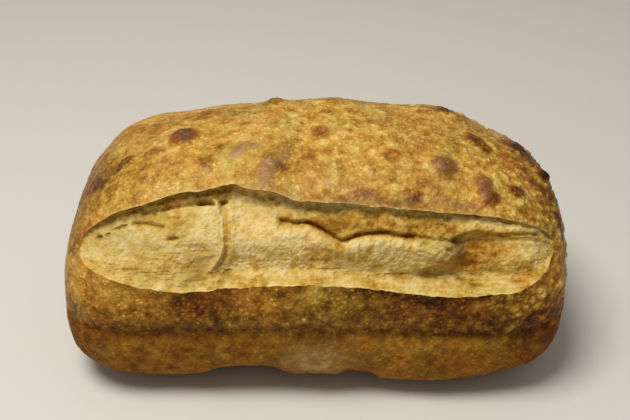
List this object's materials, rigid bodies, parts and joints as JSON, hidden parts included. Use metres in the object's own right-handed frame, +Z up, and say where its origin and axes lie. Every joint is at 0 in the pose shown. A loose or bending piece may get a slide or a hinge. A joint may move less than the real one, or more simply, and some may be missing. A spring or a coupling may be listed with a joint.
{
  "type": "tin loaf",
  "caption": "Whole uncut loaf baked in a tin, with a domed golden crust and a long slash burst open along its front shoulder.",
  "frame": {"origin": "middle of the loaf's bounding box at the height of the surface it rests on", "axes": "+Z up, +X along the loaf, and the slash along the -Y shoulder"},
  "size_m": [0.2297, 0.127, 0.1122],
  "materials": {
    "crust": "baked golden-brown bread crust, blistered and slightly glossy on the crown, matte on the sides, with pale torn dough inside the slash"
  },
  "bodies": {
    "root": {"loaf": "crust"}
  },
  "joints": []
}
